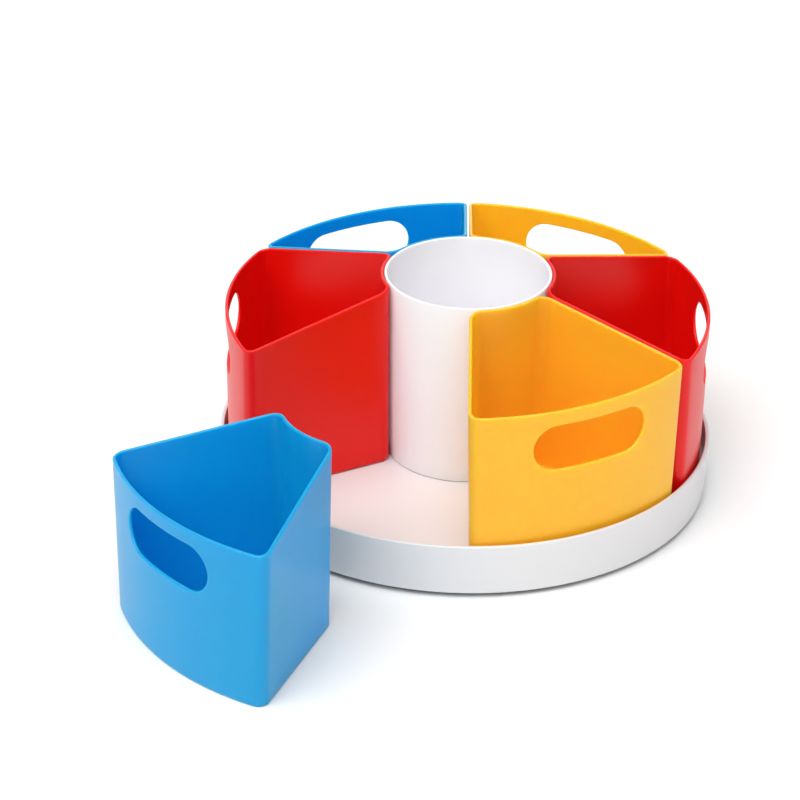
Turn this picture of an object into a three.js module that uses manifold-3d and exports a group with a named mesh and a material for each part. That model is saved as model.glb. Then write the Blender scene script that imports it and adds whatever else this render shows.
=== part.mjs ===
// Rotating storage caddy: a round tray that turns on a ball race, a cup in its middle
// and six wedge-shaped bins round the cup that lift out. One bin stands beside the tray.
//
// Millimetres, +Z up. The origin is on the tray's axis, on the surface that the feet
// stand on. Slot angles are measured from +X, anticlockwise seen from above.

import * as THREE from 'three';
import { mergeVertices } from 'three/addons/utils/BufferGeometryUtils.js';
import Module from 'manifold-3d';

const wasm = await Module();
wasm.setup();

// ---------------------------------------------------------------- driving dimensions

const FIT_GAP = 0.3; // clearance between two pieces that rest on each other

// Tray: a dish with a low rim outside and a skirt underneath.
const TRAY_RIM_RADIUS = 149; // outside of the rim, at the top
const TRAY_EDGE_RADIUS = 147.6; // outside of the skirt, at its lower edge
const TRAY_WALL = 2.4;
const TRAY_EDGE_Z = 3; // the skirt clears the table by this much
const TRAY_FLOOR_Z = 19.5; // upper face of the floor
const TRAY_FLOOR_THICKNESS = 2.5;
const TRAY_RIM_Z = 34.5;
const TRAY_ROUND = 0.8; // softening of the rim and of the corner round the floor

// Cup in the middle of the tray.
const CUP_RADIUS = 50; // outside, at the rim
const CUP_FOOT_RADIUS = 47.5; // outside, at the foot
const CUP_HEIGHT = 117;
const CUP_WALL = 1.6;
const CUP_FLOOR_RAISE = 5.5; // room for the screw head under the cup's floor
const CUP_ROUND = 0.6; // softening of the rim and of the foot
const SPIGOT_HEIGHT = 3.5; // ring on the tray that centres the cup's foot

// Wedge bins. The radii are measured on the bin's middle line, from the tray's axis.
const SLOT_COUNT = 6;
const SLOT_HALF_ANGLE = Math.PI / SLOT_COUNT;
const BIN_WALL = 2;
const BIN_FLOOR = 4;
const BIN_RIM_LOW = 96.5; // height of the rim along the outer wall
const BIN_RIM_SLOPE = 0.213; // rise of the rim per millimetre towards the cup
const BIN_TOP = { outer: 145, inner: 50.4, gap: 0.6 };
const BIN_BOTTOM = { outer: 143.8, inner: 48.4, gap: 3 };
const BIN_OUTER_CURVE = 160; // radius of curvature of the outer wall
const BIN_OUTER_FILLET = 6.5;
const BIN_INNER_FILLET = 9;
const BIN_EDGE = 1.2; // softening of the bottom edge
const BIN_RIM_ROUND = 0.5; // softening of both edges of the rim

// Hand hole through the outer wall: a slot with round ends.
const HOLE_LENGTH = 74;
const HOLE_HEIGHT = 28.6;
const HOLE_CENTRE_Z = 73; // above the bin's underside
const HOLE_CUT_DEPTH = 30; // reaches well past both faces of the curved wall

// The bin that stands on the table beside the tray.
const LOOSE_BIN_X = -53.7;
const LOOSE_BIN_Y = -131.7;
const LOOSE_BIN_TURN = -140.2; // degrees

// Turntable base with its ball race, pivot and feet.
const BASE_RADIUS = 96;
const BASE_UNDERSIDE_Z = 1;
const BASE_TOP_Z = 4;
const BASE_BEVEL = 0.8;
const RACE_RADIUS = 78;
const RACE_HALF_WIDTH = 5;
const RACE_LIP_GAP = 1.2; // from the balls' centre plane to either race lip
const BALL_RADIUS = 3;
const BALL_CENTRE_Z = 10;
const BALL_COUNT = 12;
const CAGE_THICKNESS = 1.2;
const CAGE_HALF_WIDTH = 4.4;
const CAGE_BALL_PLAY = 0.45; // between a ball and its hole in the cage
const HUB_RADIUS = 9;
const HUB_TOP_Z = 8;
const SCREW_RADIUS = 3;
const SCREW_TIP_Z = 2.6;
const SCREW_HEAD_RADIUS = 6.5;
const SCREW_HEAD_HEIGHT = 3;
const SCREW_RECESS_RADIUS = 3;
const SCREW_RECESS_DEPTH = 1.6;
const SCREW_BEVEL = 0.5;
const WASHER_RADIUS = 10;
const WASHER_THICKNESS = 1;
const FOOT_COUNT = 6;
const FOOT_RADIUS = 7;
const FOOT_HEIGHT = 2.4;
const FOOT_BEVEL = 0.5;
const FOOT_CIRCLE = 87;

// Facets.
const ROUND_SEGMENTS = 48;
const SMALL_SEGMENTS = 16;
const FILLET_SEGMENTS = 3;
const OUTER_CURVE_SEGMENTS = 10;
const INNER_CURVE_SEGMENTS = 6;
const HOLE_END_SEGMENTS = 8;
const GROOVE_SEGMENTS = 6;
const CAGE_HOLE_SEGMENTS = 10;
const BALL_FACETS = { around: 8, down: 6 };
const HEXAGON = 6;

// ---------------------------------------------------------------- materials

function plastic(color, roughness = 0.35) {
  return new THREE.MeshStandardMaterial({ color, roughness, metalness: 0 });
}

function steel(color, roughness = 0.3) {
  return new THREE.MeshStandardMaterial({ color, roughness, metalness: 1 });
}

const RED = 0xd41a12;
const BLUE = 0x2f9ee0;
const YELLOW = 0xffb02e;
const WHITE = 0xf1eeee;
const FROSTED = 0xece6ec;
const GREY = 0xb9bcc0;
const RUBBER = 0x4a4c50;
const STEEL = 0xc9ccd0;

// ---------------------------------------------------------------- solids

/** Turns a closed three.js geometry into a solid that can be cut and joined. */
function solidOf(geometry) {
  geometry.deleteAttribute('normal');
  geometry.deleteAttribute('uv');
  const merged = mergeVertices(geometry, 1e-4);
  const triVerts = [];
  for (let i = 0; i < merged.index.count; i += 3) {
    const [a, b, c] = [0, 1, 2].map((k) => merged.index.getX(i + k));
    if (a !== b && b !== c && c !== a) triVerts.push(a, b, c);
  }
  const mesh = new wasm.Mesh({
    numProp: 3,
    vertProperties: new Float32Array(merged.attributes.position.array),
    triVerts: new Uint32Array(triVerts),
  });
  return new wasm.Manifold(mesh);
}

/** Turns a solid back into a three.js geometry. */
function geometryOf(solid) {
  const mesh = solid.getMesh();
  const geometry = new THREE.BufferGeometry();
  geometry.setAttribute('position', new THREE.BufferAttribute(mesh.vertProperties, 3));
  geometry.setIndex(new THREE.BufferAttribute(mesh.triVerts, 1));
  geometry.computeVertexNormals();
  return geometry;
}

/** A named mesh made from a solid. */
function piece(name, solid, material) {
  const mesh = new THREE.Mesh(geometryOf(solid), material);
  mesh.name = name;
  return mesh;
}

const point = (x, y) => new THREE.Vector2(x, y);

/** Points along a circular arc, both ends included. */
function arc(centreX, centreY, radius, from, to, segments) {
  return Array.from({ length: segments + 1 }, (_, i) => {
    const angle = from + ((to - from) * i) / segments;
    return point(centreX + radius * Math.cos(angle), centreY + radius * Math.sin(angle));
  });
}

/**
 * Revolves a profile of (radius, height) points about Z. The profile runs anticlockwise
 * round the material and either starts and ends on the axis or closes on itself.
 */
function revolved(profile, segments = ROUND_SEGMENTS) {
  const onAxis = profile[0].x === 0;
  const points = onAxis ? profile : [...profile, profile[0]];
  const geometry = new THREE.LatheGeometry(points, segments);
  geometry.rotateX(Math.PI / 2);
  return solidOf(geometry);
}

/** A cylinder standing on z. */
function cylinder(radius, height, x, y, z, segments = SMALL_SEGMENTS) {
  const geometry = new THREE.CylinderGeometry(radius, radius, height, segments);
  geometry.rotateX(Math.PI / 2);
  geometry.translate(x, y, z + height / 2);
  return solidOf(geometry);
}

/** Skins a stack of rings that have the same number of points and caps both ends. */
function lofted(rings) {
  const count = rings[0].length;
  const positions = rings.flat().flatMap((p) => [p.x, p.y, p.z]);
  const index = [];
  for (let ring = 0; ring < rings.length - 1; ring += 1) {
    for (let i = 0; i < count; i += 1) {
      const next = (i + 1) % count;
      const a = ring * count + i;
      const b = ring * count + next;
      index.push(a, b, b + count, a, b + count, a + count);
    }
  }
  const last = (rings.length - 1) * count;
  for (const [a, b, c] of THREE.ShapeUtils.triangulateShape(rings[0], [])) index.push(c, b, a);
  for (const [a, b, c] of THREE.ShapeUtils.triangulateShape(rings.at(-1), [])) {
    index.push(last + a, last + b, last + c);
  }
  const geometry = new THREE.BufferGeometry();
  geometry.setAttribute('position', new THREE.Float32BufferAttribute(positions, 3));
  geometry.setIndex(index);
  return solidOf(geometry);
}

// ---------------------------------------------------------------- wedge bins

/**
 * Plan of a bin: a slice of a ring whose flat sides stay `gap` away from the slot's
 * two radial lines. `inset` moves the whole line inwards. Anticlockwise.
 */
function wedgePlan(size, inset) {
  const gap = size.gap + inset;
  const curve = BIN_OUTER_CURVE - inset;
  const curveX = size.outer - BIN_OUTER_CURVE;
  const inner = size.inner + inset;
  const outerFillet = BIN_OUTER_FILLET - inset;
  const innerFillet = BIN_INNER_FILLET - inset;

  // The side runs along `along`, and `inward` points from it to the middle line.
  const along = point(Math.cos(SLOT_HALF_ANGLE), Math.sin(SLOT_HALF_ANGLE));
  const inward = point(along.y, -along.x);

  // Outer fillet: touches the side and the outer curve from inside.
  const start = inward.clone().multiplyScalar(gap + outerFillet).sub(point(curveX, 0));
  const across = start.dot(along);
  const reach = (curve - outerFillet) ** 2 - start.lengthSq() + across ** 2;
  const outerCentre = start.addScaledVector(along, Math.sqrt(reach) - across);
  const curveEnd = outerCentre.angle();
  outerCentre.x += curveX;

  // Inner fillet: touches the side and the arc round the cup from outside.
  const innerReach = inner + innerFillet;
  const arcEnd = SLOT_HALF_ANGLE - Math.asin((gap + innerFillet) / innerReach);
  const innerX = innerReach * Math.cos(arcEnd);
  const innerY = innerReach * Math.sin(arcEnd);

  const side = SLOT_HALF_ANGLE + Math.PI / 2;
  return [
    ...arc(outerCentre.x, -outerCentre.y, outerFillet, -side, -curveEnd, FILLET_SEGMENTS),
    ...arc(curveX, 0, curve, -curveEnd, curveEnd, OUTER_CURVE_SEGMENTS).slice(1, -1),
    ...arc(outerCentre.x, outerCentre.y, outerFillet, curveEnd, side, FILLET_SEGMENTS),
    ...arc(innerX, innerY, innerFillet, side, Math.PI + arcEnd, FILLET_SEGMENTS),
    ...arc(0, 0, inner, arcEnd, -arcEnd, INNER_CURVE_SEGMENTS).slice(1, -1),
    ...arc(innerX, -innerY, innerFillet, Math.PI - arcEnd, 2 * Math.PI - side, FILLET_SEGMENTS),
  ];
}

/** Height of the bin's rim over a point of its plan. */
function rimHeight(p) {
  return BIN_RIM_LOW + BIN_RIM_SLOPE * (BIN_TOP.outer - p.length());
}

/**
 * One ring of the bin's skin, inset from the outside. `height` is measured up from the
 * underside, or down from the rim if `fromRim` is set.
 */
function binRing(inset, height, fromRim = false) {
  const rim = wedgePlan(BIN_TOP, 0);
  const top = wedgePlan(BIN_TOP, inset);
  const bottom = wedgePlan(BIN_BOTTOM, inset);
  return top.map((t, i) => {
    const rimZ = rimHeight(rim[i]);
    const z = fromRim ? rimZ - height : height;
    const plan = bottom[i].clone().lerp(t, z / rimZ);
    return new THREE.Vector3(plan.x, plan.y, z);
  });
}

/** The slot-shaped cutter of the hand hole, which runs along X through the outer wall. */
function handHole() {
  const half = HOLE_LENGTH / 2 - HOLE_HEIGHT / 2;
  const end = HOLE_HEIGHT / 2;
  const outline = [
    ...arc(half, 0, end, -Math.PI / 2, Math.PI / 2, HOLE_END_SEGMENTS),
    ...arc(-half, 0, end, Math.PI / 2, 1.5 * Math.PI, HOLE_END_SEGMENTS),
  ];
  const geometry = new THREE.ExtrudeGeometry(new THREE.Shape(outline), {
    depth: HOLE_CUT_DEPTH,
    bevelEnabled: false,
  });
  geometry.rotateX(Math.PI / 2);
  geometry.rotateZ(Math.PI / 2);
  geometry.translate(BIN_TOP.outer - HOLE_CUT_DEPTH / 2, 0, HOLE_CENTRE_Z);
  return solidOf(geometry);
}

/** A bin with its middle line along +X and its underside at z = 0. */
function binSolid() {
  const shell = lofted([
    binRing(BIN_EDGE, 0),
    binRing(0, BIN_EDGE),
    binRing(0, BIN_RIM_ROUND, true),
    binRing(BIN_RIM_ROUND, 0, true),
    binRing(BIN_WALL - BIN_RIM_ROUND, 0, true),
    binRing(BIN_WALL, BIN_RIM_ROUND, true),
    binRing(BIN_WALL, BIN_FLOOR + BIN_EDGE),
    binRing(BIN_WALL + BIN_EDGE, BIN_FLOOR),
  ]);
  return shell.subtract(handHole());
}

// ---------------------------------------------------------------- tray and cup

const TRAY_UNDERSIDE_Z = TRAY_FLOOR_Z - TRAY_FLOOR_THICKNESS;
const HUB_HOLE_RADIUS = SCREW_RADIUS + FIT_GAP;
const SPIGOT_RADIUS = CUP_FOOT_RADIUS - CUP_WALL - 2 * FIT_GAP;

/** Ball groove seen in profile, between two angles about the balls' centres. */
function grooveProfile(from, to) {
  return arc(RACE_RADIUS, BALL_CENTRE_Z, BALL_RADIUS + FIT_GAP, from, to, GROOVE_SEGMENTS);
}

function traySolid() {
  const lipAngle = Math.asin(RACE_LIP_GAP / (BALL_RADIUS + FIT_GAP));
  const lipZ = BALL_CENTRE_Z + RACE_LIP_GAP;
  const draft = (TRAY_RIM_RADIUS - TRAY_EDGE_RADIUS) / (TRAY_RIM_Z - TRAY_EDGE_Z);
  const outside = (z) => TRAY_EDGE_RADIUS + draft * (z - TRAY_EDGE_Z);
  const inside = (z) => outside(z) - TRAY_WALL;
  return revolved([
    point(inside(TRAY_EDGE_Z), TRAY_EDGE_Z),
    point(outside(TRAY_EDGE_Z), TRAY_EDGE_Z),
    point(outside(TRAY_RIM_Z), TRAY_RIM_Z - TRAY_ROUND),
    point(TRAY_RIM_RADIUS - TRAY_ROUND, TRAY_RIM_Z),
    point(inside(TRAY_RIM_Z) + TRAY_ROUND, TRAY_RIM_Z),
    point(inside(TRAY_RIM_Z), TRAY_RIM_Z - TRAY_ROUND),
    point(inside(TRAY_FLOOR_Z), TRAY_FLOOR_Z + TRAY_ROUND),
    point(inside(TRAY_FLOOR_Z) - TRAY_ROUND, TRAY_FLOOR_Z),
    point(SPIGOT_RADIUS, TRAY_FLOOR_Z),
    point(SPIGOT_RADIUS, TRAY_FLOOR_Z + SPIGOT_HEIGHT),
    point(SPIGOT_RADIUS - CUP_WALL, TRAY_FLOOR_Z + SPIGOT_HEIGHT),
    point(SPIGOT_RADIUS - CUP_WALL, TRAY_FLOOR_Z),
    point(HUB_HOLE_RADIUS, TRAY_FLOOR_Z),
    point(HUB_HOLE_RADIUS, HUB_TOP_Z + FIT_GAP),
    point(HUB_RADIUS, HUB_TOP_Z + FIT_GAP),
    point(HUB_RADIUS, TRAY_UNDERSIDE_Z),
    point(RACE_RADIUS - RACE_HALF_WIDTH, TRAY_UNDERSIDE_Z),
    point(RACE_RADIUS - RACE_HALF_WIDTH, lipZ),
    ...grooveProfile(Math.PI - lipAngle, lipAngle),
    point(RACE_RADIUS + RACE_HALF_WIDTH, lipZ),
    point(RACE_RADIUS + RACE_HALF_WIDTH, TRAY_UNDERSIDE_Z),
    point(inside(TRAY_UNDERSIDE_Z), TRAY_UNDERSIDE_Z),
  ]);
}

function cupSolid() {
  const foot = TRAY_FLOOR_Z + FIT_GAP;
  const rim = foot + CUP_HEIGHT;
  const floor = TRAY_FLOOR_Z + CUP_FLOOR_RAISE;
  const draft = (CUP_RADIUS - CUP_FOOT_RADIUS) / CUP_HEIGHT;
  const outside = (z) => CUP_FOOT_RADIUS + draft * (z - foot);
  return revolved([
    point(0, floor),
    point(SPIGOT_RADIUS + FIT_GAP, floor),
    point(SPIGOT_RADIUS + FIT_GAP, foot),
    point(CUP_FOOT_RADIUS - CUP_ROUND, foot),
    point(outside(foot), foot + CUP_ROUND),
    point(CUP_RADIUS, rim - CUP_ROUND),
    point(CUP_RADIUS - CUP_ROUND, rim),
    point(CUP_RADIUS - CUP_WALL + CUP_ROUND, rim),
    point(CUP_RADIUS - CUP_WALL, rim - CUP_ROUND),
    point(outside(floor) - CUP_WALL, floor + 2 * CUP_WALL),
    point(outside(floor) - 2 * CUP_WALL, floor + CUP_WALL),
    point(0, floor + CUP_WALL),
  ]);
}

// ---------------------------------------------------------------- turntable base

/** Angle of the nth of `count` places spread evenly round a circle. */
const around = (n, count) => (2 * Math.PI * n) / count;

function baseSolid() {
  const lipAngle = Math.asin(RACE_LIP_GAP / (BALL_RADIUS + FIT_GAP));
  const lipZ = BALL_CENTRE_Z - RACE_LIP_GAP;
  const plate = revolved([
    point(0, BASE_UNDERSIDE_Z),
    point(BASE_RADIUS - BASE_BEVEL, BASE_UNDERSIDE_Z),
    point(BASE_RADIUS, BASE_UNDERSIDE_Z + BASE_BEVEL),
    point(BASE_RADIUS, BASE_TOP_Z - BASE_BEVEL),
    point(BASE_RADIUS - BASE_BEVEL, BASE_TOP_Z),
    point(RACE_RADIUS + RACE_HALF_WIDTH, BASE_TOP_Z),
    point(RACE_RADIUS + RACE_HALF_WIDTH, lipZ),
    ...grooveProfile(-lipAngle, lipAngle - Math.PI),
    point(RACE_RADIUS - RACE_HALF_WIDTH, lipZ),
    point(RACE_RADIUS - RACE_HALF_WIDTH, BASE_TOP_Z),
    point(HUB_RADIUS, BASE_TOP_Z),
    point(HUB_RADIUS, HUB_TOP_Z),
    point(HUB_HOLE_RADIUS, HUB_TOP_Z),
    point(HUB_HOLE_RADIUS, SCREW_TIP_Z - FIT_GAP),
    point(0, SCREW_TIP_Z - FIT_GAP),
  ]);
  return eachFoot().reduce((solid, { x, y }) => {
    const pocket = cylinder(FOOT_RADIUS + FIT_GAP, FOOT_HEIGHT + FIT_GAP, x, y, 0);
    return solid.subtract(pocket);
  }, plate);
}

/** Centres of the feet. */
function eachFoot() {
  return Array.from({ length: FOOT_COUNT }, (_, i) => {
    const angle = around(i, FOOT_COUNT);
    return point(FOOT_CIRCLE * Math.cos(angle), FOOT_CIRCLE * Math.sin(angle));
  });
}

function footSolid() {
  return revolved(
    [
      point(0, 0),
      point(FOOT_RADIUS - FOOT_BEVEL, 0),
      point(FOOT_RADIUS, FOOT_BEVEL),
      point(FOOT_RADIUS, FOOT_HEIGHT),
      point(0, FOOT_HEIGHT),
    ],
    SMALL_SEGMENTS,
  );
}

/** Flat ring with one hole for each ball. */
function cageSolid() {
  const ring = new THREE.Shape(
    arc(0, 0, RACE_RADIUS + CAGE_HALF_WIDTH, 0, 2 * Math.PI, ROUND_SEGMENTS).slice(0, -1),
  );
  const inside = arc(0, 0, RACE_RADIUS - CAGE_HALF_WIDTH, 0, 2 * Math.PI, ROUND_SEGMENTS);
  ring.holes.push(new THREE.Path(inside.slice(0, -1)));
  for (let i = 0; i < BALL_COUNT; i += 1) {
    const angle = around(i, BALL_COUNT);
    const x = RACE_RADIUS * Math.cos(angle);
    const y = RACE_RADIUS * Math.sin(angle);
    const hole = arc(x, y, BALL_RADIUS + CAGE_BALL_PLAY, 0, 2 * Math.PI, CAGE_HOLE_SEGMENTS);
    ring.holes.push(new THREE.Path(hole.slice(0, -1)));
  }
  const geometry = new THREE.ExtrudeGeometry(ring, {
    depth: CAGE_THICKNESS,
    bevelEnabled: false,
  });
  geometry.translate(0, 0, BALL_CENTRE_Z - CAGE_THICKNESS / 2);
  return solidOf(geometry);
}

const WASHER_Z = TRAY_FLOOR_Z + FIT_GAP;
const SCREW_HEAD_Z = WASHER_Z + WASHER_THICKNESS + FIT_GAP;

function washerSolid() {
  return revolved(
    [
      point(HUB_HOLE_RADIUS, WASHER_Z),
      point(WASHER_RADIUS, WASHER_Z),
      point(WASHER_RADIUS, WASHER_Z + WASHER_THICKNESS),
      point(HUB_HOLE_RADIUS, WASHER_Z + WASHER_THICKNESS),
    ],
    SMALL_SEGMENTS,
  );
}

/** Shoulder screw with a hexagonal recess in its head. */
function screwSolid() {
  const headTop = SCREW_HEAD_Z + SCREW_HEAD_HEIGHT;
  const body = revolved(
    [
      point(0, SCREW_TIP_Z),
      point(SCREW_RADIUS - SCREW_BEVEL, SCREW_TIP_Z),
      point(SCREW_RADIUS, SCREW_TIP_Z + SCREW_BEVEL),
      point(SCREW_RADIUS, SCREW_HEAD_Z),
      point(SCREW_HEAD_RADIUS, SCREW_HEAD_Z),
      point(SCREW_HEAD_RADIUS, headTop - SCREW_BEVEL),
      point(SCREW_HEAD_RADIUS - SCREW_BEVEL, headTop),
      point(0, headTop),
    ],
    SMALL_SEGMENTS,
  );
  const recessFloor = headTop - SCREW_RECESS_DEPTH;
  const recess = cylinder(SCREW_RECESS_RADIUS, SCREW_HEAD_HEIGHT, 0, 0, recessFloor, HEXAGON);
  return body.subtract(recess);
}

function ballSolid() {
  return solidOf(new THREE.SphereGeometry(BALL_RADIUS, BALL_FACETS.around, BALL_FACETS.down));
}

// ---------------------------------------------------------------- assembly

function baseGroup() {
  const group = new THREE.Group();
  group.add(piece('base_plate', baseSolid(), plastic(GREY, 0.5)));
  group.add(piece('pivot_screw', screwSolid(), steel(STEEL)));
  group.add(piece('pivot_washer', washerSolid(), steel(STEEL, 0.4)));
  eachFoot().forEach(({ x, y }, i) => {
    const foot = piece(`foot_${i + 1}`, footSolid(), plastic(RUBBER, 0.9));
    foot.position.set(x, y, 0);
    group.add(foot);
  });
  return group;
}

function raceGroup() {
  const group = new THREE.Group();
  group.add(piece('ball_cage', cageSolid(), plastic(WHITE, 0.5)));
  for (let i = 0; i < BALL_COUNT; i += 1) {
    const angle = around(i, BALL_COUNT);
    const ball = piece(`ball_${i + 1}`, ballSolid(), steel(STEEL, 0.15));
    ball.position.set(RACE_RADIUS * Math.cos(angle), RACE_RADIUS * Math.sin(angle), BALL_CENTRE_Z);
    group.add(ball);
  }
  return group;
}

/** Bins in their slots, named by colour and place. The slot at 240 degrees is empty. */
const SEATED_BINS = [
  { name: 'bin_red_right', color: RED, degrees: 0 },
  { name: 'bin_yellow_back', color: YELLOW, degrees: 60 },
  { name: 'bin_blue_back', color: BLUE, degrees: 120 },
  { name: 'bin_red_left', color: RED, degrees: 180 },
  { name: 'bin_yellow_front', color: YELLOW, degrees: 300 },
];

function trayGroup() {
  const group = new THREE.Group();
  group.add(piece('tray', traySolid(), plastic(WHITE, 0.3)));
  group.add(piece('centre_cup', cupSolid(), plastic(FROSTED, 0.3)));
  for (const { name, color, degrees } of SEATED_BINS) {
    const bin = piece(name, binSolid(), plastic(color));
    bin.rotation.z = THREE.MathUtils.degToRad(degrees);
    bin.position.z = TRAY_FLOOR_Z + FIT_GAP;
    group.add(bin);
  }
  return group;
}

function looseBin() {
  const bin = piece('bin_blue_front', binSolid(), plastic(BLUE));
  bin.rotation.z = THREE.MathUtils.degToRad(LOOSE_BIN_TURN);
  bin.position.set(LOOSE_BIN_X, LOOSE_BIN_Y, 0);
  return bin;
}

const caddy = new THREE.Group();
caddy.add(baseGroup(), raceGroup(), trayGroup(), looseBin());

export default caddy;
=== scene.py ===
"""
Looks of the rotating storage caddy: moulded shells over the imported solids, plastics, light
and camera.
"""
import math

import bmesh
import bpy
import numpy as np
from mathutils import Matrix, Vector


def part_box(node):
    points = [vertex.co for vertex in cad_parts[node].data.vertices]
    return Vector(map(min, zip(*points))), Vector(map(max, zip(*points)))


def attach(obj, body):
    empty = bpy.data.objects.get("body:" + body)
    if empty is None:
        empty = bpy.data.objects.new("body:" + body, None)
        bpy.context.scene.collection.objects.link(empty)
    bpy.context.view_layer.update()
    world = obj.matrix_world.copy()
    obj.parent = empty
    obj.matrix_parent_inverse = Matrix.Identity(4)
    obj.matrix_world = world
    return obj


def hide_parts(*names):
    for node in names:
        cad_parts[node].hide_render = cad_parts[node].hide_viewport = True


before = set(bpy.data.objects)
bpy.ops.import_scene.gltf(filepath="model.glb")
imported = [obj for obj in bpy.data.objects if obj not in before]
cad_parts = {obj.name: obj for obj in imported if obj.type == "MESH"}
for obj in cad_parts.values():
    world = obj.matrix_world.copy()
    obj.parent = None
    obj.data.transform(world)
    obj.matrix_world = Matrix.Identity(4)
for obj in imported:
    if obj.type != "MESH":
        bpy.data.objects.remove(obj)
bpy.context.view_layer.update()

# ------------------------------------------------------------------ sizes, in metres
WALL = 0.002  # bins
RIM_LOW = 0.0965  # height of a bin's rim along its outer wall
RIM_SLOPE = 0.213  # rise of the rim towards the cup
SLOT_HALF = math.pi / 6
BIN_TOP = {"outer": 0.145, "inner": 0.0504, "gap": 0.0006}
BIN_BOTTOM = {"outer": 0.1438, "inner": 0.0484, "gap": 0.003}
OUTER_CURVE = 0.160  # radius of curvature of a bin's outer wall
OUTER_FILLET = 0.0065
INNER_FILLET = 0.009
BOTTOM_EDGE = 0.0014  # rounding of a bin's bottom edge
RIM_ROUND = 0.0009  # rounding of the edges of the rim and of the hand hole
FLOOR = 0.004  # thickness of a bin's floor
FLOOR_FILLET = 0.0025

HOLE_LENGTH = 0.074
HOLE_HEIGHT = 0.0286
HOLE_Z = 0.073
PATCH_HALF_WIDTH = 0.0435  # the part of the outer wall that is laid out round the hole
PATCH_HALF_HEIGHT = 0.020
PATCH_COLUMNS = 28
PATCH_ROWS = 10
FIRST_COLUMN = 4  # plan points before the hole's part of the outer wall

LOOSE_TURN = math.radians(-140.2)
LOOSE_PLACE = Vector((-0.0537, -0.1317, 0.0))

CUP_WALL = 0.0016
CUP_FOOT_RADIUS = 0.0475
CUP_FOOT_WALL = 0.0019
CUP_FLOOR_RAISE = 0.0052  # underside of the cup's floor over its foot
CUP_FLOOR_FILLET = 0.003
CUP_LIP_ROUND = 0.0005
CUP_FOOT_ROUND = 0.0008

TRAY_WALL = 0.0024
TRAY_EDGE_RADIUS = 0.1476  # outside of the skirt, at its lower edge
TRAY_FLOOR_THICKNESS = 0.0025
TRAY_LIP_ROUND = 0.0008
TRAY_FLOOR_FILLET = 0.0012
TRAY_UNDER_FILLET = 0.0015
SEAT_GAP = 0.0003  # between the tray's floor and the bins
SPIGOT_RADIUS = 0.0453  # ring that centres the cup's foot
SPIGOT_WALL = 0.0016
SPIGOT_HEIGHT = 0.0035
HUB_RADIUS = 0.009
HUB_HOLE_RADIUS = 0.0033
HUB_GAP = 0.0005  # between the hub and the base plate
RACE_RADIUS = 0.078
RACE_HALF_WIDTH = 0.005
RACE_DEPTH = 0.0058  # lip of the race under the tray's floor
GROOVE_HALF_WIDTH = 0.0032
GROOVE_DEPTH = 0.0021
GROOVE_FLAT = 0.0022
SMALL_ROUND = 0.0003
TINY_ROUND = 0.0002
BALL_COUNT = 12
FOOT_COUNT = 6

FILLET_POINTS = 8  # steps round an upright corner of a bin
CUP_SIDE_POINTS = 24
EDGE_STEPS = 6  # points over a quarter of a rounded edge
LATHE_SEGMENTS = 192
TRAY_SEGMENTS = 288

# ------------------------------------------------------------------ looks
SCATTER_LENGTH = 0.0015  # how far light travels inside the plastics
GLOSS_VARIATION = 0.02
SPECULAR_LEVEL = 0.36
PLASTIC_IOR = 1.49
FLOOR_SIZE = 60.0
FLOOR_DROP = 0.0002  # keeps the studio's floor just clear of the feet
WORLD_STRENGTH = 0.15

# soft lights: azimuth, elevation and spread in degrees, and power
LIGHTS = {
    "front": (0, 60, 60, 0.7),
    "front_left_high": (-45, 65, 60, 1.9),
    "front_left": (-45, 40, 60, 0.6),
    "front_right": (45, 40, 60, 0.68),
    "back": (180, 25, 60, 0.7),
}

SENSOR = 36.0  # millimetres, as Blender takes them
LENS = 139.59
CAMERA_TURN = math.radians(0.848)
CAMERA_ELEVATION = math.radians(28.02)
CAMERA_ROLL = math.radians(0.788)
CAMERA_DISTANCE = 1.8599
CAMERA_AIM = Vector((-0.03967, -0.02494, 0.063))  # before the camera's turn

BINS = {
    "bin_red_right": ("red", 0),
    "bin_yellow_back": ("yellow", 60),
    "bin_blue_back": ("blue", 120),
    "bin_red_left": ("red", 180),
    "bin_yellow_front": ("yellow", 300),
    "bin_blue_front": ("blue", None),
}


# ------------------------------------------------------------------ mesh helpers
def new_object(name, vertices, faces, smooth=True):
    """A mesh object with outward normals and no loose vertices."""
    mesh = bpy.data.meshes.new(name)
    mesh.from_pydata([tuple(v) for v in vertices], [], faces)
    bm = bmesh.new()
    bm.from_mesh(mesh)
    loose = [v for v in bm.verts if not v.link_faces]
    bmesh.ops.delete(bm, geom=loose, context="VERTS")
    bmesh.ops.remove_doubles(bm, verts=bm.verts, dist=1e-7)
    bmesh.ops.recalc_face_normals(bm, faces=bm.faces)
    bm.to_mesh(mesh)
    bm.free()
    if smooth:
        mesh.shade_smooth()
    obj = bpy.data.objects.new(name, mesh)
    bpy.context.scene.collection.objects.link(obj)
    return obj


def quads_between(first, second):
    """Faces that join two closed loops of vertex numbers."""
    count = len(first)
    return [
        (first[i], first[(i + 1) % count], second[(i + 1) % count], second[i])
        for i in range(count)
    ]


def arc(centre, radius, start, end, segments):
    """Points on a circular arc, both ends included."""
    a = np.linspace(start, end, segments + 1)
    return np.stack([centre[0] + radius * np.cos(a), centre[1] + radius * np.sin(a)], 1)


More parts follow.
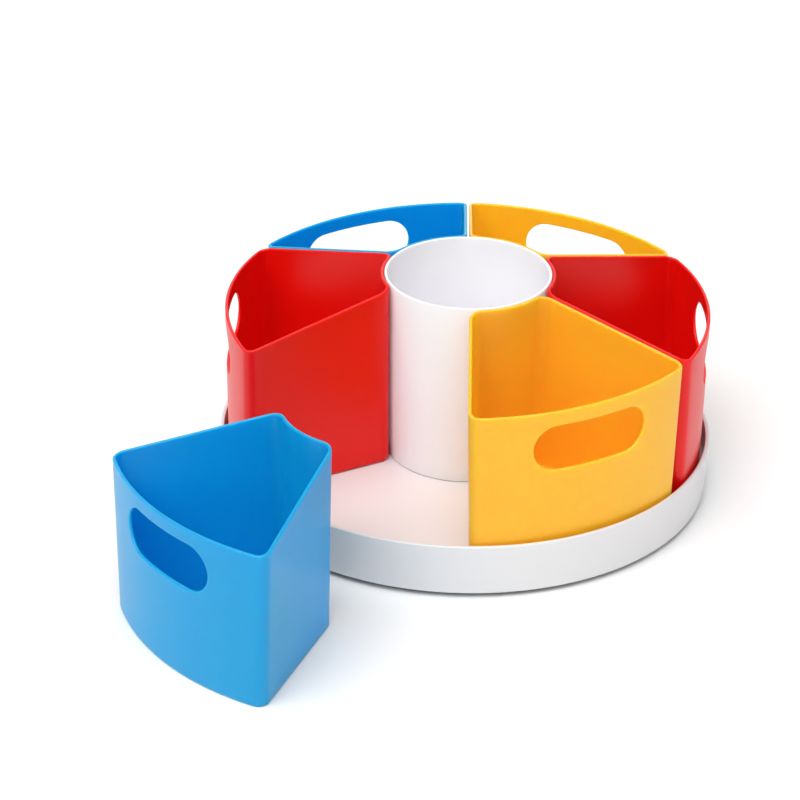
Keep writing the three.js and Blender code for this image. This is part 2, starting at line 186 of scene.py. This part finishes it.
def rounded_profile(corners, closed, segments=5):
    """Points of a (radius, height) outline with each corner (r, z, fillet) rounded off."""
    points = []
    count = len(corners)
    for i, (r, z, fillet) in enumerate(corners):
        here = Vector((r, z))
        if fillet == 0 or (not closed and i in (0, count - 1)):
            points.append(here)
            continue
        before = Vector(corners[i - 1][:2]) - here
        after = Vector(corners[(i + 1) % count][:2]) - here
        half = before.angle(after) / 2
        reach = fillet / math.tan(half)
        start = here + before.normalized() * reach
        end = here + after.normalized() * reach
        centre = here + (before.normalized() + after.normalized()).normalized() * (
            fillet / math.sin(half)
        )
        first = start - centre
        turn = first.angle_signed(end - centre)
        for k in range(segments + 1):
            points.append(centre + first @ Matrix.Rotation(turn * k / segments, 2))
    return points


def lathe(name, corners, closed=True, segments=LATHE_SEGMENTS):
    """Revolves a rounded outline about Z. An open outline starts and ends on the axis."""
    profile = rounded_profile(corners, closed)
    vertices = []
    for p in profile:
        for k in range(segments):
            a = 2 * math.pi * k / segments
            vertices.append((p.x * math.cos(a), p.x * math.sin(a), p.y))
    loops = [
        list(range(i * segments, (i + 1) * segments)) for i in range(len(profile))
    ]
    faces = []
    pairs = list(zip(loops, loops[1:] + loops[:1]))
    for first, second in pairs if closed else pairs[:-1]:
        faces += quads_between(first, second)
    return new_object(name, vertices, faces)


# ------------------------------------------------------------------ wedge bins
def wedge_plan(size, inset):
    """Plan of a bin, anticlockwise, with its middle line along +X. inset moves it inwards."""
    gap = size["gap"] + inset
    curve = OUTER_CURVE - inset
    curve_x = size["outer"] - OUTER_CURVE
    inner = size["inner"] + inset
    fillet = OUTER_FILLET - inset
    small = INNER_FILLET - inset
    along = np.array([math.cos(SLOT_HALF), math.sin(SLOT_HALF)])
    inward = np.array([along[1], -along[0]])

    start = inward * (gap + fillet) - [curve_x, 0]
    across = start @ along
    reach = (curve - fillet) ** 2 - start @ start + across**2
    corner = start + along * (math.sqrt(reach) - across)
    curve_end = math.atan2(corner[1], corner[0])
    corner_x, corner_y = corner[0] + curve_x, corner[1]

    arc_end = SLOT_HALF - math.asin((gap + small) / (inner + small))
    inner_x = (inner + small) * math.cos(arc_end)
    inner_y = (inner + small) * math.sin(arc_end)

    side = SLOT_HALF + math.pi / 2
    across_patch = np.linspace(-PATCH_HALF_WIDTH, PATCH_HALF_WIDTH, PATCH_COLUMNS + 1)
    columns = np.arcsin(across_patch / OUTER_CURVE)
    beyond = np.linspace(columns[-1], curve_end, FIRST_COLUMN + 2)[1:-1]
    angles = np.concatenate([-beyond[::-1], columns, beyond])
    wall = np.stack([curve_x + curve * np.cos(angles), curve * np.sin(angles)], 1)
    high_fillet = arc((corner_x, corner_y), fillet, curve_end, side, FILLET_POINTS)
    high_inner = arc((inner_x, inner_y), small, side, math.pi + arc_end, FILLET_POINTS)
    flat = np.linspace(high_fillet[-1], high_inner[0], 12)[1:-1]
    cup_side = arc((0, 0), inner, arc_end, -arc_end, CUP_SIDE_POINTS)[1:-1]
    half = np.concatenate([high_fillet, flat, high_inner])
    mirrored = half[::-1] * [1, -1]
    return np.concatenate([wall, half, cup_side, mirrored])


def plan_at(inset):
    """Plans at the underside and at the rim, and the height of the rim over each point."""
    bottom = wedge_plan(BIN_BOTTOM, inset)
    top = wedge_plan(BIN_TOP, inset)
    outside = wedge_plan(BIN_TOP, 0.0)
    rim = RIM_LOW + RIM_SLOPE * (BIN_TOP["outer"] - np.hypot(*outside.T))
    return bottom, top, rim


def bin_ring(inset, height):
    """One ring of a bin's skin. height is a number, or a function of the rim's height."""
    bottom, top, rim = plan_at(inset)
    z = height(rim) if callable(height) else np.full(len(rim), height)
    share = (z / rim)[:, None]
    return np.column_stack([bottom * (1 - share) + top * share, z])


def wall_point(y, z, inset):
    """A point of the outer wall, by its distance y from the middle line and its height."""
    angle = math.asin(y / OUTER_CURVE)
    share = z / RIM_LOW
    outer = BIN_BOTTOM["outer"] * (1 - share) + BIN_TOP["outer"] * share
    curve = OUTER_CURVE - inset
    return (outer - OUTER_CURVE + curve * math.cos(angle), curve * math.sin(angle), z)


def edge_steps():
    """(inset, drop) pairs that take a wall's skin over its rounded edge to the other side."""
    half = [
        (RIM_ROUND * (1 - math.cos(a)), RIM_ROUND * (1 - math.sin(a)))
        for a in np.linspace(0, math.pi / 2, EDGE_STEPS)
    ]
    return half + [(WALL - inset, drop) for inset, drop in reversed(half)]


def bin_rings():
    """Rings of the bin's skin from the underside, over the rim, to the floor inside."""
    rings = []
    low, high = HOLE_Z - PATCH_HALF_HEIGHT, HOLE_Z + PATCH_HALF_HEIGHT
    lip = RIM_ROUND

    for a in np.linspace(0, math.pi / 2, EDGE_STEPS):
        rings.append(bin_ring(BOTTOM_EDGE * (1 - math.sin(a)), BOTTOM_EDGE * (1 - math.cos(a))))
    for z in np.linspace(BOTTOM_EDGE, low, 8)[1:-1]:
        rings.append(bin_ring(0, z))
    outer_patch = len(rings)
    for z in np.linspace(low, high, PATCH_ROWS + 1):
        rings.append(bin_ring(0, z))
    for share in (0.5, 0.85):
        rings.append(bin_ring(0, lambda rim, s=share: high + (rim - lip - high) * s))
    for inset, drop in edge_steps():
        rings.append(bin_ring(inset, lambda rim, d=drop: rim - d))
    for share in (0.85, 0.5):
        rings.append(bin_ring(WALL, lambda rim, s=share: high + (rim - lip - high) * s))
    inner_patch = len(rings)
    for z in np.linspace(high, low, PATCH_ROWS + 1):
        rings.append(bin_ring(WALL, z))
    for z in np.linspace(low, FLOOR + FLOOR_FILLET, 8)[1:-1]:
        rings.append(bin_ring(WALL, z))
    for a in np.linspace(0, math.pi / 2, 7):
        inset = WALL + FLOOR_FILLET * (1 - math.cos(a))
        rings.append(bin_ring(inset, FLOOR + FLOOR_FILLET * (1 - math.sin(a))))
    return rings, outer_patch, inner_patch


def patch_border(first_row, count, downwards):
    """Vertex numbers round the hole's part of a skin, from its lower left corner."""
    rows = [first_row + i for i in range(PATCH_ROWS + 1)]
    if downwards:
        rows.reverse()
    columns = [FIRST_COLUMN + i for i in range(PATCH_COLUMNS + 1)]
    border = [(rows[0], c) for c in columns]
    border += [(r, columns[-1]) for r in rows[1:]]
    border += [(rows[-1], c) for c in columns[-2::-1]]
    border += [(r, columns[0]) for r in rows[-2:0:-1]]
    return [r * count + c for r, c in border]


def border_places():
    """The same border as (distance from the middle line, height)."""
    low, high = HOLE_Z - PATCH_HALF_HEIGHT, HOLE_Z + PATCH_HALF_HEIGHT
    ys = list(np.linspace(-PATCH_HALF_WIDTH, PATCH_HALF_WIDTH, PATCH_COLUMNS + 1))
    zs = list(np.linspace(low, high, PATCH_ROWS + 1))
    places = [(y, low) for y in ys]
    places += [(ys[-1], z) for z in zs[1:]]
    places += [(y, high) for y in ys[-2::-1]]
    places += [(ys[0], z) for z in zs[-2:0:-1]]
    return places


def bin_mesh():
    """Vertices and faces of a bin, its hand hole rolled over from skin to skin."""
    rings, outer_patch, inner_patch = bin_rings()
    count = len(rings[0])
    vertices = [tuple(p) for ring in rings for p in ring]
    patches = (
        range(outer_patch, outer_patch + PATCH_ROWS),
        range(inner_patch, inner_patch + PATCH_ROWS),
    )
    columns = range(FIRST_COLUMN, FIRST_COLUMN + PATCH_COLUMNS)
    faces = []
    for r in range(len(rings) - 1):
        in_patch = any(r in rows for rows in patches)
        for c in range(count):
            if in_patch and c in columns:
                continue
            n = (c + 1) % count
            faces.append((r * count + c, r * count + n, (r + 1) * count + n, (r + 1) * count + c))
    faces.append(tuple(range(count))[::-1])
    faces.append(tuple(range((len(rings) - 1) * count, len(rings) * count)))

    half = (HOLE_LENGTH - HOLE_HEIGHT) / 2
    end = HOLE_HEIGHT / 2
    lip = RIM_ROUND
    places = border_places()
    hole = []
    for y, z in places:
        spine = Vector((max(-half, min(half, y)), HOLE_Z))
        hole.append((spine, (Vector((y, z)) - spine).normalized()))

    loops = [patch_border(outer_patch, count, downwards=False)]

    def add_loop(points, inset):
        loops.append(list(range(len(vertices), len(vertices) + len(points))))
        vertices.extend(wall_point(p[0], p[1], inset) for p in points)

    def at(offset):
        return [spine + out * (end + offset) for spine, out in hole]

    def towards_border(share):
        return [p.lerp(Vector(place), share) for p, place in zip(at(lip), places)]

    for share in (0.66, 0.33, 0.1):
        add_loop(towards_border(share), 0)
    for inset, drop in edge_steps():
        add_loop(at(drop), inset)
    for share in (0.1, 0.33, 0.66):
        add_loop(towards_border(share), WALL)
    loops.append(patch_border(inner_patch, count, downwards=True))
    for first, second in zip(loops, loops[1:]):
        faces += quads_between(first, second)
    return vertices, faces


# ------------------------------------------------------------------ materials
def node(tree, kind, **inputs):
    """A shader node with its sockets set, by name with _ for spaces."""
    made = tree.nodes.new(kind)
    for key, value in inputs.items():
        made.inputs[key.replace("_", " ")].default_value = value
    return made


def moulded(name, colour, deep, roughness, scatter, radius, grain):
    """
    Injection-moulded plastic: a colour that drifts slightly towards a deeper one, faint
    handling marks in the gloss, a very slight warp and a fine grain.
    """
    material = bpy.data.materials.new(name)
    material.use_nodes = True
    tree = material.node_tree
    link = tree.links.new
    shader = tree.nodes["Principled BSDF"]
    place = tree.nodes.new("ShaderNodeTexCoord")

    drift = node(tree, "ShaderNodeTexNoise", Scale=9.0, Detail=3.0, Roughness=0.5)
    link(place.outputs["Object"], drift.inputs["Vector"])
    tone = tree.nodes.new("ShaderNodeValToRGB")
    tone.color_ramp.elements[0].position = 0.3
    tone.color_ramp.elements[0].color = (*deep, 1)
    tone.color_ramp.elements[1].position = 0.7
    tone.color_ramp.elements[1].color = (*colour, 1)
    link(drift.outputs["Fac"], tone.inputs["Fac"])
    link(tone.outputs["Color"], shader.inputs["Base Color"])

    marks = node(tree, "ShaderNodeTexNoise", Scale=40.0, Detail=2.0, Roughness=0.5)
    link(place.outputs["Object"], marks.inputs["Vector"])
    gloss = node(tree, "ShaderNodeMapRange")
    gloss.inputs["From Min"].default_value = 0.3
    gloss.inputs["From Max"].default_value = 0.7
    gloss.inputs["To Min"].default_value = roughness - GLOSS_VARIATION
    gloss.inputs["To Max"].default_value = roughness + GLOSS_VARIATION
    link(marks.outputs["Fac"], gloss.inputs["Value"])
    link(gloss.outputs["Result"], shader.inputs["Roughness"])

    warp = node(tree, "ShaderNodeTexNoise", Scale=22.0, Detail=1.0)
    link(place.outputs["Object"], warp.inputs["Vector"])
    slow = node(tree, "ShaderNodeBump", Strength=0.1, Distance=0.0003)
    link(warp.outputs["Fac"], slow.inputs["Height"])
    fine = node(tree, "ShaderNodeTexNoise", Scale=2600.0, Detail=2.0)
    link(place.outputs["Object"], fine.inputs["Vector"])
    quick = node(tree, "ShaderNodeBump", Strength=grain, Distance=0.0001)
    link(fine.outputs["Fac"], quick.inputs["Height"])
    link(slow.outputs["Normal"], quick.inputs["Normal"])
    link(quick.outputs["Normal"], shader.inputs["Normal"])

    shader.inputs["Subsurface Weight"].default_value = scatter
    shader.inputs["Subsurface Radius"].default_value = radius
    shader.inputs["Subsurface Scale"].default_value = SCATTER_LENGTH
    shader.inputs["Specular IOR Level"].default_value = SPECULAR_LEVEL
    shader.inputs["IOR"].default_value = PLASTIC_IOR
    return material


def steel(name, roughness):
    """Bright steel with fine turning marks."""
    material = bpy.data.materials.new(name)
    material.use_nodes = True
    tree = material.node_tree
    link = tree.links.new
    shader = tree.nodes["Principled BSDF"]
    shader.inputs["Metallic"].default_value = 1.0
    place = tree.nodes.new("ShaderNodeTexCoord")
    spots = node(tree, "ShaderNodeTexNoise", Scale=400.0, Detail=4.0)
    link(place.outputs["Object"], spots.inputs["Vector"])
    tone = tree.nodes.new("ShaderNodeValToRGB")
    tone.color_ramp.elements[0].color = (0.50, 0.51, 0.53, 1)
    tone.color_ramp.elements[1].color = (0.72, 0.73, 0.75, 1)
    link(spots.outputs["Fac"], tone.inputs["Fac"])
    link(tone.outputs["Color"], shader.inputs["Base Color"])
    gloss = node(tree, "ShaderNodeMapRange")
    gloss.inputs["To Min"].default_value = roughness
    gloss.inputs["To Max"].default_value = roughness + 0.15
    link(spots.outputs["Fac"], gloss.inputs["Value"])
    link(gloss.outputs["Result"], shader.inputs["Roughness"])
    return material


def paint_floor(name):
    """Plain pale studio floor with a trace of unevenness."""
    material = bpy.data.materials.new(name)
    material.use_nodes = True
    tree = material.node_tree
    link = tree.links.new
    shader = tree.nodes["Principled BSDF"]
    place = tree.nodes.new("ShaderNodeTexCoord")
    cloud = node(tree, "ShaderNodeTexNoise", Scale=1.5, Detail=3.0)
    link(place.outputs["Object"], cloud.inputs["Vector"])
    tone = tree.nodes.new("ShaderNodeValToRGB")
    tone.color_ramp.elements[0].color = (0.92, 0.92, 0.92, 1)
    tone.color_ramp.elements[1].color = (0.94, 0.94, 0.94, 1)
    link(cloud.outputs["Fac"], tone.inputs["Fac"])
    link(tone.outputs["Color"], shader.inputs["Base Color"])
    shader.inputs["Roughness"].default_value = 0.9
    shader.inputs["Specular IOR Level"].default_value = 0.1
    return material


# name, colour, deeper colour, roughness, share of light scattered, how far each colour
# travels, grain
PLASTICS = {
    "red": (
        "red_plastic",
        (0.80, 0.004, 0.002), (0.776, 0.0039, 0.0019), 0.34, 1.0, (1.0, 0.1, 0.08), 0.02
    ),
    "blue": (
        "blue_plastic",
        (0.002, 0.335, 0.65), (0.002, 0.325, 0.635), 0.34, 1.0, (0.2, 3.6, 6.4), 0.02
    ),
    "yellow": (
        "yellow_plastic", (1.0, 0.495, 0.026), (0.99, 0.48, 0.024), 0.36, 1.0, (1.0, 4.0, 0.3), 0.02
    ),
    "white": (
        "white_plastic", (0.75, 0.75, 0.76), (0.735, 0.735, 0.745), 0.36, 0.5, (0.4, 0.4, 0.4), 0.02
    ),
    "frosted": (
        "frosted_plastic",
        (0.975, 0.935, 1.0), (0.965, 0.925, 0.99), 0.36, 1.0, (1.4, 1.3, 1.35), 0.02
    ),
    "grey": (
        "grey_plastic", (0.45, 0.46, 0.47), (0.40, 0.41, 0.42), 0.5, 0.05, (1.0, 1.0, 1.0), 0.1
    ),
    "cage_white": (
        "cage_plastic", (0.80, 0.79, 0.77), (0.74, 0.73, 0.71), 0.5, 0.1, (1.0, 1.0, 1.0), 0.05
    ),
    "rubber": (
        "foot_rubber", (0.060, 0.062, 0.066), (0.045, 0.047, 0.05), 0.85, 0.0, (1.0, 1.0, 1.0), 0.3
    ),
}
STEELS = {"steel": ("plated_steel", 0.28), "ball_steel": ("polished_steel", 0.08)}

MATERIALS = {slot: moulded(*looks) for slot, looks in PLASTICS.items()}
MATERIALS.update((slot, steel(*looks)) for slot, looks in STEELS.items())


def finish_piece(obj, slot_name, body, *cad_nodes):
    """Gives a piece its material, its body and the CAD nodes that it stands for."""
    obj.data.materials.clear()
    obj.data.materials.append(MATERIALS[slot_name])
    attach(obj, body)
    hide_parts(*cad_nodes)


# ------------------------------------------------------------------ pieces
def build_bins():
    vertices, faces = bin_mesh()
    for name, (colour, degrees) in BINS.items():
        if degrees is None:
            place = Matrix.Translation(LOOSE_PLACE) @ Matrix.Rotation(LOOSE_TURN, 4, "Z")
        else:
            seat = Vector((0, 0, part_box(name)[0].z))
            place = Matrix.Translation(seat) @ Matrix.Rotation(math.radians(degrees), 4, "Z")
        shell = new_object(f"{name}_shell", vertices, faces)
        shell.data.transform(place)
        finish_piece(shell, colour, f"{name}_body", name)


def build_cup():
    low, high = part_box("centre_cup")
    foot, rim = low.z, high.z
    radius = high.x
    floor = foot + CUP_FLOOR_RAISE
    inner_foot = CUP_FOOT_RADIUS - CUP_FOOT_WALL
    draft = (radius - CUP_FOOT_RADIUS) / (rim - foot)
    inside_floor = CUP_FOOT_RADIUS - CUP_WALL + draft * CUP_WALL
    cup = lathe(
        "centre_cup_shell",
        [
            (0, floor, 0),
            (inner_foot, floor, 0.0008),
            (inner_foot, foot, 0.0004),
            (CUP_FOOT_RADIUS, foot, CUP_FOOT_ROUND),
            (radius, rim, CUP_LIP_ROUND),
            (radius - CUP_WALL, rim, CUP_LIP_ROUND),
            (inside_floor, floor + CUP_WALL, CUP_FLOOR_FILLET),
            (0, floor + CUP_WALL, 0),
        ],
        closed=False,
    )
    finish_piece(cup, "frosted", "cup", "centre_cup")


def build_tray():
    low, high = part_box("tray")
    edge, rim = low.z, high.z
    rim_radius = high.x
    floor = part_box("bin_red_right")[0].z - SEAT_GAP
    under = floor - TRAY_FLOOR_THICKNESS
    draft = (rim_radius - TRAY_EDGE_RADIUS) / (rim - edge)

    def inside(z):
        return TRAY_EDGE_RADIUS + draft * (z - edge) - TRAY_WALL

    lip = under - RACE_DEPTH
    hub_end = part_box("base_plate")[1].z - HUB_GAP
    tray = lathe(
        "tray_shell",
        [
            (inside(edge), edge, 0.0006),
            (TRAY_EDGE_RADIUS, edge, 0.0008),
            (rim_radius, rim, TRAY_LIP_ROUND),
            (inside(rim), rim, TRAY_LIP_ROUND),
            (inside(floor), floor, TRAY_FLOOR_FILLET),
            (SPIGOT_RADIUS, floor, SMALL_ROUND),
            (SPIGOT_RADIUS, floor + SPIGOT_HEIGHT, 0.0005),
            (SPIGOT_RADIUS - SPIGOT_WALL, floor + SPIGOT_HEIGHT, 0.0005),
            (SPIGOT_RADIUS - SPIGOT_WALL, floor, SMALL_ROUND),
            (HUB_HOLE_RADIUS, floor, TINY_ROUND),
            (HUB_HOLE_RADIUS, hub_end, TINY_ROUND),
            (HUB_RADIUS, hub_end, 0.0004),
            (HUB_RADIUS, under, TRAY_UNDER_FILLET),
            (RACE_RADIUS - RACE_HALF_WIDTH, under, 0.001),
            (RACE_RADIUS - RACE_HALF_WIDTH, lip, 0.0004),
            (RACE_RADIUS - GROOVE_HALF_WIDTH, lip, SMALL_ROUND),
            (RACE_RADIUS - GROOVE_FLAT, lip + GROOVE_DEPTH, 0.001),
            (RACE_RADIUS + GROOVE_FLAT, lip + GROOVE_DEPTH, 0.001),
            (RACE_RADIUS + GROOVE_HALF_WIDTH, lip, SMALL_ROUND),
            (RACE_RADIUS + RACE_HALF_WIDTH, lip, 0.0004),
            (RACE_RADIUS + RACE_HALF_WIDTH, under, 0.001),
            (inside(under), under, TRAY_UNDER_FILLET),
        ],
        segments=TRAY_SEGMENTS,
    )
    finish_piece(tray, "white", "turntable", "tray")


def dress_hidden_parts():
    """The turntable's own parts keep their CAD shape and get their finishes."""
    slots = {
        "base_plate": "grey",
        "ball_cage": "cage_white",
        "pivot_screw": "steel",
        "pivot_washer": "steel",
    }
    for i in range(FOOT_COUNT):
        slots[f"foot_{i + 1}"] = "rubber"
    for name, slot_name in slots.items():
        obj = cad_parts[name]
        obj.data.materials.clear()
        obj.data.materials.append(MATERIALS[slot_name])


def build_balls():
    for i in range(BALL_COUNT):
        name = f"ball_{i + 1}"
        low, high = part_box(name)
        radius = (high.z - low.z) / 2
        half_circle = arc((0, 0), radius, -math.pi / 2, math.pi / 2, 16)
        outline = [(r, z, 0) for r, z in half_circle]
        outline[0], outline[-1] = (0, -radius, 0), (0, radius, 0)
        ball = lathe(f"{name}_polished", outline, closed=False, segments=32)
        ball.location = (low + high) / 2
        finish_piece(ball, "ball_steel", "race", name)


# ------------------------------------------------------------------ studio
def build_floor():
    far = FLOOR_SIZE
    corners = [(-far, -far, 0), (far, -far, 0), (far, far, 0), (-far, far, 0)]
    floor = new_object("studio_floor", corners, [(0, 1, 2, 3)], smooth=False)
    floor.location.z = -FLOOR_DROP
    floor.data.materials.append(paint_floor("studio_floor"))


def soft_light(name, azimuth, elevation, spread, power):
    """A far-off soft light. Azimuth 0 is the camera's side and 90 is the right; degrees."""
    turn, rise = math.radians(azimuth), math.radians(elevation)
    level = math.cos(rise)
    towards = Vector((math.sin(turn) * level, -math.cos(turn) * level, math.sin(rise)))
    data = bpy.data.lights.new(name, "SUN")
    data.angle = math.radians(spread)
    data.energy = power
    light = bpy.data.objects.new(name, data)
    light.rotation_euler = (-towards).to_track_quat("-Z", "Y").to_euler()
    bpy.context.scene.collection.objects.link(light)


def build_light():
    """Dim light from all round, seen as a white backdrop, and five soft lights."""
    world = bpy.data.worlds.new("studio")
    world.use_nodes = True
    tree = world.node_tree
    background = tree.nodes["Background"]
    background.inputs["Color"].default_value = (1, 1, 1, 1)
    path = tree.nodes.new("ShaderNodeLightPath")
    strength = tree.nodes.new("ShaderNodeMapRange")
    strength.inputs["To Min"].default_value = WORLD_STRENGTH
    tree.links.new(path.outputs["Is Camera Ray"], strength.inputs["Value"])
    tree.links.new(strength.outputs["Result"], background.inputs["Strength"])
    bpy.context.scene.world = world
    for name, settings in LIGHTS.items():
        soft_light(name, *settings)


def build_camera():
    """A long lens that looks down on the caddy."""
    data = bpy.data.cameras.new("camera")
    data.sensor_width = SENSOR
    data.lens = LENS
    data.clip_start, data.clip_end = 0.05, 200
    camera = bpy.data.objects.new("camera", data)
    turn = Matrix.Rotation(CAMERA_TURN, 3, "Z")
    aim = turn @ CAMERA_AIM
    back = Vector((0, -math.cos(CAMERA_ELEVATION), math.sin(CAMERA_ELEVATION)))
    right = Vector((1, 0, 0))
    up = back.cross(right)
    tilted_right = right * math.cos(CAMERA_ROLL) + up * math.sin(CAMERA_ROLL)
    tilted_up = up * math.cos(CAMERA_ROLL) - right * math.sin(CAMERA_ROLL)
    axes = turn @ Matrix((tilted_right, tilted_up, back)).transposed()
    place = aim + axes.col[2] * CAMERA_DISTANCE
    camera.matrix_world = Matrix.Translation(place) @ axes.to_4x4()
    bpy.context.scene.collection.objects.link(camera)
    bpy.context.scene.camera = camera


build_bins()
build_cup()
build_tray()
dress_hidden_parts()
build_balls()
build_floor()
build_light()
build_camera()

view = bpy.context.scene.view_settings
view.view_transform = "Standard"
view.look = "None"
bpy.context.scene.cycles.use_denoising = True
